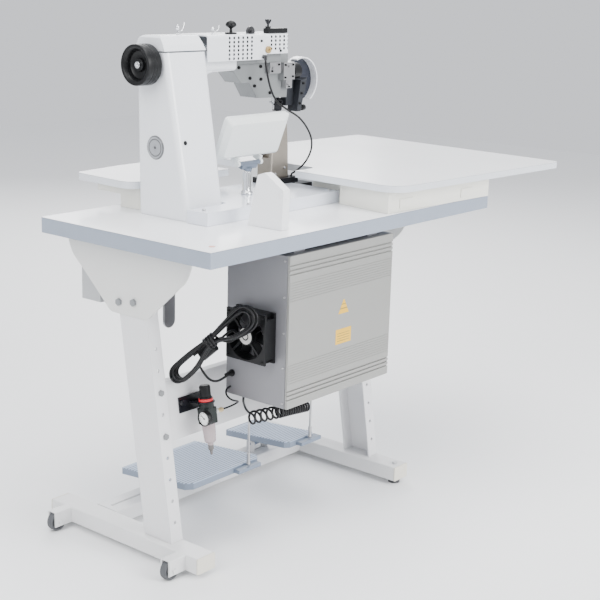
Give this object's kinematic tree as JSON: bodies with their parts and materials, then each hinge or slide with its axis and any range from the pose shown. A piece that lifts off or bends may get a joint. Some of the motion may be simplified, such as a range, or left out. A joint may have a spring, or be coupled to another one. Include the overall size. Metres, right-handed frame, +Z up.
{
  "type": "industrial sewing machine",
  "caption": "Post-bed leather sewing machine on a height-adjustable stand, with treadles, control box, air regulator, operator panel and two raised extension boards.",
  "frame": {"origin": "on the floor, under the middle of the footprint (cords left out)", "axes": "+X along the table to the operator's right, +Y away from the operator, +Z up"},
  "size_m": [1.4028, 0.7824, 1.258],
  "materials": {
    "laminate": "satin laminate",
    "frame": "satin powder coat",
    "tyre": "matt",
    "treadle": "ribbed, satin",
    "dark": "matt",
    "steel": "brushed",
    "case": "satin anodised",
    "black_plastic": "satin",
    "grey_plastic": "matt",
    "black_paint": "satin",
    "clear_plastic": "clear",
    "white_enamel": "gloss enamel",
    "white_paint": "gloss paint",
    "grey_enamel": "satin enamel",
    "block": "machined",
    "white_plastic": "satin",
    "slate_paint": "satin",
    "screen": "gloss",
    "chrome": "polished",
    "cream_plastic": "satin",
    "cord": "matt",
    "hose": "satin"
  },
  "bodies": {
    "machine": {"air_hose": "hose", "arm_hood": "white_paint", "arm_lid": "white_paint", "bed_plate": "white_paint", "coil_hose": "hose", "column_casting": "white_enamel", "control_box": "case", "control_panel": "case", "cross_beam": "frame", "fan_frame": "black_plastic", "foot_left": "frame", "foot_right": "frame", "guide_arm": "slate_paint", "guide_block": "block", "guide_motor": "black_paint", "guide_shield": "white_plastic", "head_cable": "cord", "knee_plate": "steel", "leg_left": "frame", "leg_right": "frame", "mains_hank": "cord", "mains_lead": "cord", "mains_plug": "black_plastic", "needle_housing": "grey_enamel", "panel_post": "chrome", "post_base": "black_paint", "post_bed": "steel", "power_switch_box": "grey_plastic", "regulator_body": "black_plastic", "regulator_bowl": "clear_plastic", "regulator_bracket": "black_paint", "regulator_gauge": "black_plastic", "shoulder_left": "frame", "shoulder_right": "frame", "support_left": "cream_plastic", "support_right": "cream_plastic", "table_top": "laminate", "thread_guide": "black_plastic", "treadle_rail": "frame", "treadle_sensor": "dark", "wedge_cover": "white_plastic"},
    "handwheel": {"handwheel": "black_plastic"},
    "needle_bar": {"needle_bar": "steel"},
    "presser_foot": {"presser_foot": "black_paint"},
    "fan_rotor": {"fan_rotor": "black_plastic"},
    "regulator_knob": {"regulator_knob": "black_plastic"},
    "treadle_large": {"treadle_large": "treadle"},
    "treadle_small": {"treadle_small": "treadle"},
    "pull_rod_large": {"pull_rod_large": "steel"},
    "pull_rod_small": {"pull_rod_small": "steel"},
    "caster_back": {"caster_back": "tyre"},
    "caster_front": {"caster_front": "tyre"},
    "panel_yoke": {"panel_yoke": "slate_paint"},
    "panel": {"panel_case": "white_plastic", "panel_screen": "screen"},
    "board_right": {"board_right": "laminate"},
    "board_left": {"board_left": "laminate"},
    "tension_knob": {"tension_knob": "black_plastic"},
    "wing_screw": {"wing_screw": "steel"},
    "guide_knob": {"guide_knob": "black_plastic"}
  },
  "joints": [
    {"name": "handwheel_spin", "type": "hinge", "parent": "machine", "child": "handwheel", "pos_m": [0.51636, -0.06801, 1.157], "axis": [1, 0, 0], "continuous": true},
    {"name": "needle_slide", "type": "slide", "parent": "machine", "child": "needle_bar", "axis": [0, 0, 1], "range_m": [-0.028, 0]},
    {"name": "presser_slide", "type": "slide", "parent": "machine", "child": "presser_foot", "axis": [0, 0, 1], "range_m": [-0.014, 0]},
    {"name": "fan_spin", "type": "hinge", "parent": "machine", "child": "fan_rotor", "pos_m": [0.44966, 0.22699, 0.554], "axis": [1, 0, 0], "continuous": true},
    {"name": "regulator_turn", "type": "hinge", "parent": "machine", "child": "regulator_knob", "pos_m": [0.49636, 0.12612, 0.36778], "axis": [0, -0.1541, 0.988], "range_deg": [-170, 170]},
    {"name": "treadle_large_tilt", "type": "hinge", "parent": "machine", "child": "treadle_large", "pos_m": [0.32836, -0.13801, 0.076], "axis": [1, 0, 0], "range_deg": [-7, 7], "stiffness_Nm_per_rad": 30, "springref_deg": 3.44},
    {"name": "treadle_small_tilt", "type": "hinge", "parent": "machine", "child": "treadle_small", "pos_m": [0.00636, -0.13801, 0.076], "axis": [1, 0, 0], "range_deg": [-7, 7], "stiffness_Nm_per_rad": 20, "springref_deg": 2.29},
    {"name": "pull_rod_large_slide", "type": "slide", "parent": "machine", "child": "pull_rod_large", "axis": [0, 0, 1], "range_m": [-0.024, 0.024]},
    {"name": "pull_rod_small_slide", "type": "slide", "parent": "machine", "child": "pull_rod_small", "axis": [0, 0, 1], "range_m": [-0.024, 0.024]},
    {"name": "caster_back_roll", "type": "hinge", "parent": "machine", "child": "caster_back", "pos_m": [0.67636, 0.18449, 0.025], "axis": [0, 1, 0], "continuous": true},
    {"name": "caster_front_roll", "type": "hinge", "parent": "machine", "child": "caster_front", "pos_m": [0.67636, -0.21651, 0.025], "axis": [0, 1, 0], "continuous": true},
    {"name": "panel_swivel", "type": "hinge", "parent": "machine", "child": "panel_yoke", "pos_m": [0.23036, 0.00499, 0.892], "axis": [0, 0, 1], "range_deg": [-15, 15]},
    {"name": "panel_tilt", "type": "hinge", "parent": "panel_yoke", "child": "panel", "pos_m": [0.22986, 0.01073, 0.9106], "axis": [1, 0, 0], "range_deg": [-15, 15]},
    {"name": "board_right_lift", "type": "hinge", "parent": "machine", "child": "board_right", "pos_m": [-0.30113, 0.3347, 0.85585], "axis": [0.9984, -0.0558, 0], "range_deg": [-18, 0]},
    {"name": "board_left_lift", "type": "hinge", "parent": "machine", "child": "board_left", "pos_m": [0.32636, -0.28901, 0.85585], "axis": [1, 0, 0], "range_deg": [0, 80]},
    {"name": "tension_turn", "type": "hinge", "parent": "machine", "child": "tension_knob", "pos_m": [0.24436, -0.04301, 1.223], "axis": [0, 0, 1], "range_deg": [-170, 170]},
    {"name": "wing_screw_turn", "type": "hinge", "parent": "machine", "child": "wing_screw", "pos_m": [0.12236, -0.02901, 1.236], "axis": [0, 0, 1], "range_deg": [-170, 170]},
    {"name": "guide_knob_turn", "type": "hinge", "parent": "machine", "child": "guide_knob", "pos_m": [-0.03764, -0.04501, 1.027], "axis": [1, 0, 0], "range_deg": [-170, 170]}
  ],
  "couplings": [
    {"joint": "pull_rod_large_slide", "follows": "treadle_large_tilt", "m_per_rad": 0.19},
    {"joint": "pull_rod_small_slide", "follows": "treadle_small_tilt", "m_per_rad": 0.174}
  ]
}
